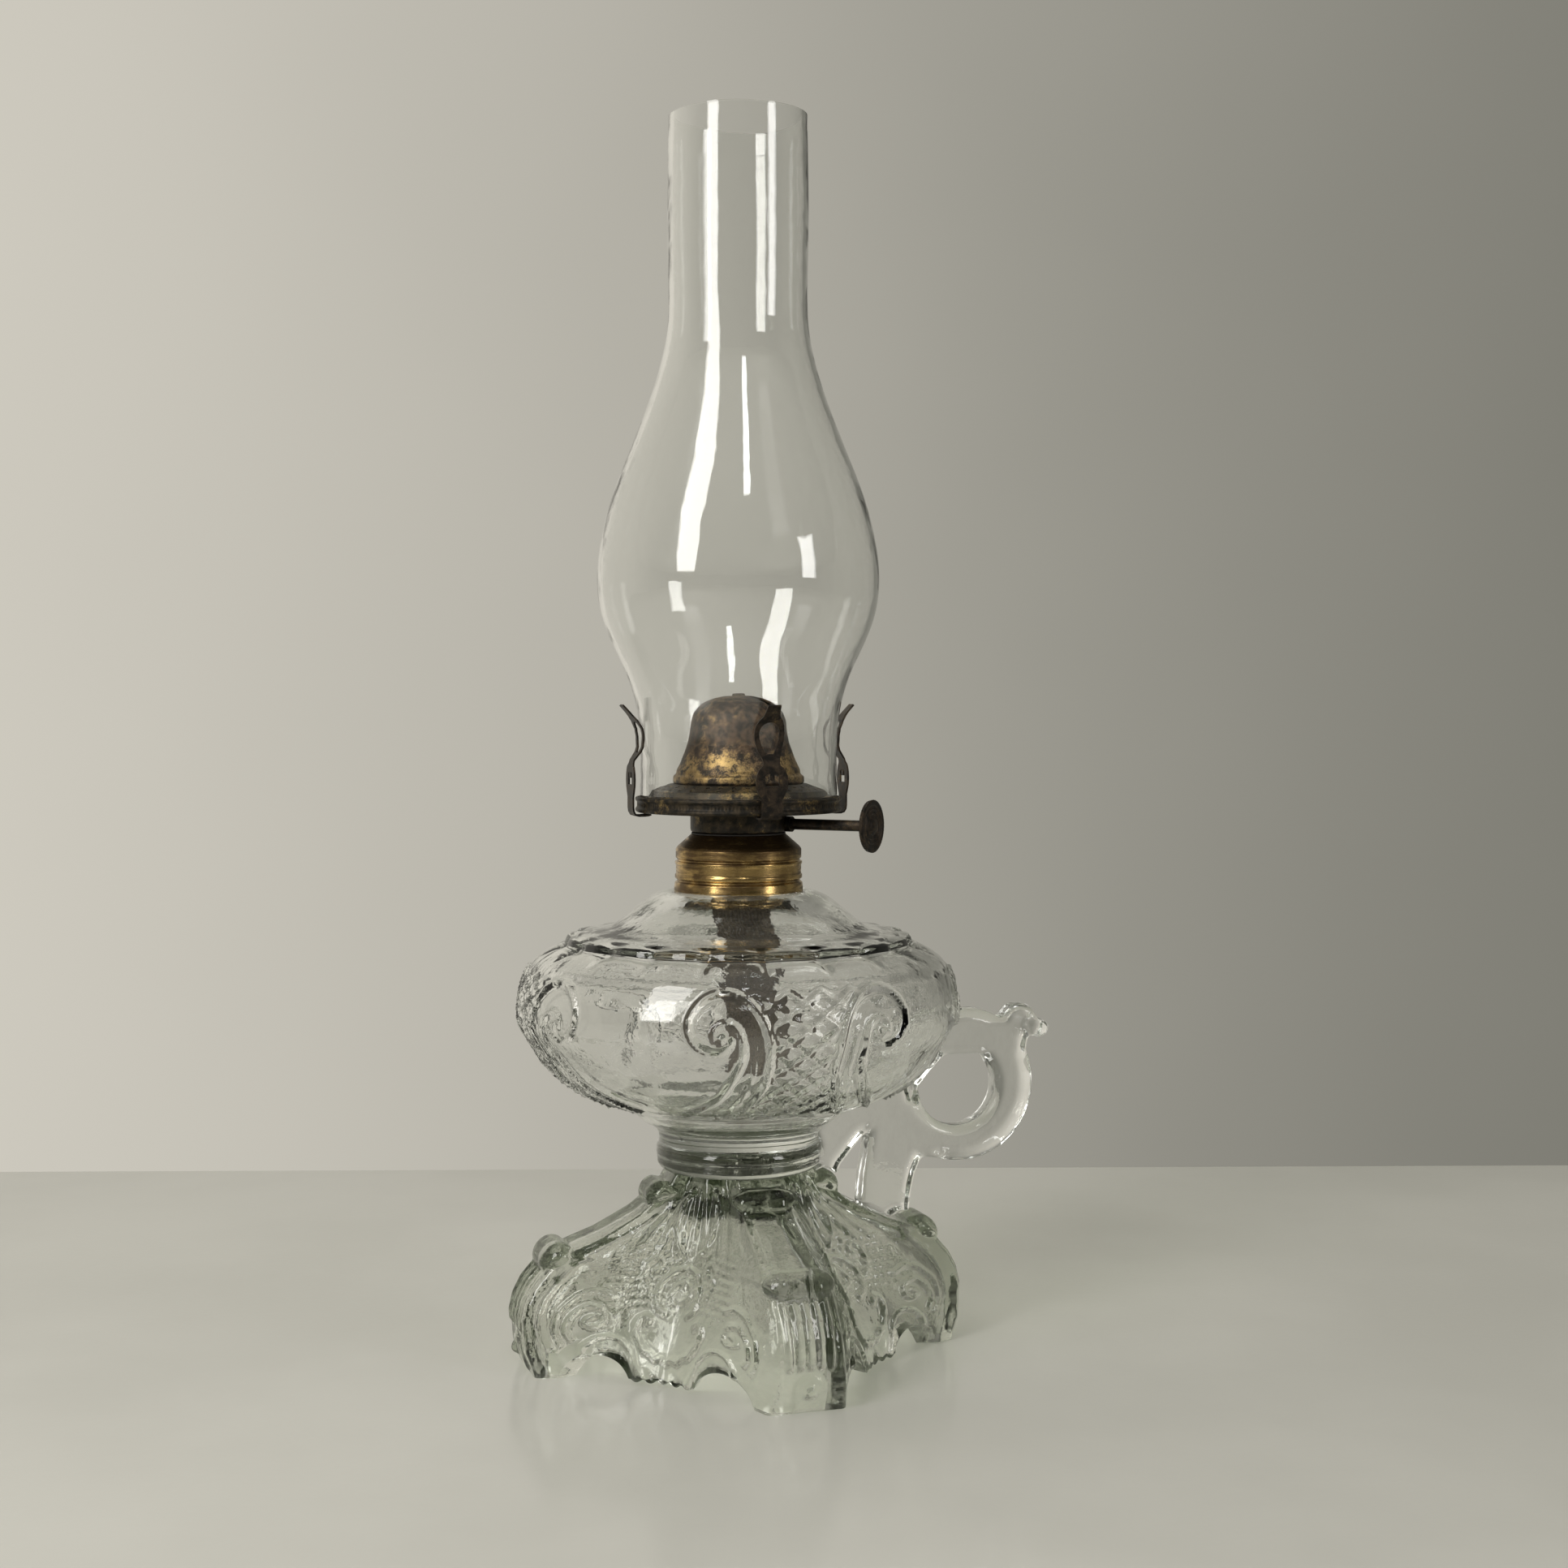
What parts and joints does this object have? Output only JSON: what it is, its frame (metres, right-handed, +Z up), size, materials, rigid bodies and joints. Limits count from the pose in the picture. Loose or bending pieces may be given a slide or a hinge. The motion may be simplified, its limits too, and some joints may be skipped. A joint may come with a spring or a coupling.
{
  "type": "oil lamp",
  "caption": "Pressed-glass kerosene lamp: square moulded foot, round font with side handle, threaded brass burner with flat wick and thumb wheel, four spring prongs holding a bulged chimney.",
  "frame": {"origin": "on the lamp's upright axis, in the plane that its four feet stand on", "axes": "+Z up along the axis; +X toward the handle, through one corner of the foot"},
  "size_m": [0.2189, 0.1808, 0.476],
  "materials": {
    "font_glass": "clear pressed glass",
    "foot_glass": "thick pressed glass, faint green",
    "chimney_glass": "thin clear blown glass",
    "collar_brass": "aged golden brass",
    "plaster": "matt plaster",
    "burner_brass": "blackened brass with worn patches",
    "bright_brass": "dull brass",
    "prong_steel": "dark spring brass",
    "seam_rubber": "matt gasket",
    "wick_cotton": "woven cotton, oil stained"
  },
  "bodies": {
    "lamp_body": {"glass_font": "font_glass", "glass_wafer": "foot_glass", "glass_foot": "foot_glass", "glass_handle": "font_glass", "collar_shell": "collar_brass", "collar_plaster": "plaster"},
    "burner_lift": {"burner_seam_ring": "seam_rubber"},
    "burner": {"burner_thimble": "burner_brass", "burner_barrel": "burner_brass", "shaft_bushing": "burner_brass", "gallery_dish": "burner_brass", "air_plate": "burner_brass", "deflector_dome": "burner_brass", "wick_tube": "bright_brass", "spur_cage": "bright_brass"},
    "raiser": {"raiser_shaft": "burner_brass", "spur_wheel_1": "bright_brass", "spur_wheel_2": "bright_brass", "spur_wheel_3": "bright_brass", "spur_wheel_4": "bright_brass", "thumb_wheel": "burner_brass"},
    "wick": {"flat_wick": "wick_cotton"},
    "chimney": {"glass_chimney": "chimney_glass"},
    "prong_right_spring": {"prong_right": "prong_steel"},
    "prong_back_spring": {"prong_back": "prong_steel"},
    "prong_left_spring": {"prong_left": "prong_steel"},
    "prong_front_spring": {"prong_front": "prong_steel"}
  },
  "joints": [
    {"name": "burner_rise", "type": "slide", "parent": "lamp_body", "child": "burner_lift", "axis": [0, 0, 1], "range_m": [0, 0.0043]},
    {"name": "burner_turn", "type": "hinge", "parent": "burner_lift", "child": "burner", "pos_m": [0, 0, 0.2], "axis": [0, 0, 1], "range_deg": [0, 720]},
    {"name": "wheel_turn", "type": "hinge", "parent": "burner", "child": "raiser", "pos_m": [0.00368, 0.00368, 0.205], "axis": [-0.7071, 0.7071, 0], "range_deg": [-90, 75]},
    {"name": "wick_slide", "type": "slide", "parent": "burner", "child": "wick", "axis": [0, 0, 1], "range_m": [-0.0067, 0.0056]},
    {"name": "chimney_lift", "type": "slide", "parent": "burner", "child": "chimney", "axis": [0, 0, 1], "range_m": [0, 0.06]},
    {"name": "prong_right_flex", "type": "hinge", "parent": "burner", "child": "prong_right_spring", "pos_m": [0.0358, 0, 0.2092], "axis": [0, 1, 0], "range_deg": [0, 8], "stiffness_Nm_per_rad": 0.05},
    {"name": "prong_back_flex", "type": "hinge", "parent": "burner", "child": "prong_back_spring", "pos_m": [0, 0.0358, 0.2092], "axis": [-1, 0, 0], "range_deg": [0, 8], "stiffness_Nm_per_rad": 0.05},
    {"name": "prong_left_flex", "type": "hinge", "parent": "burner", "child": "prong_left_spring", "pos_m": [-0.0358, 0, 0.2092], "axis": [0, -1, 0], "range_deg": [0, 8], "stiffness_Nm_per_rad": 0.05},
    {"name": "prong_front_flex", "type": "hinge", "parent": "burner", "child": "prong_front_spring", "pos_m": [0, -0.0358, 0.2092], "axis": [1, 0, 0], "range_deg": [0, 8], "stiffness_Nm_per_rad": 0.05}
  ],
  "couplings": [
    {"joint": "burner_rise", "follows": "burner_turn", "m_per_rad": 0.00033423},
    {"joint": "wick_slide", "follows": "wheel_turn", "m_per_rad": 0.0042}
  ]
}
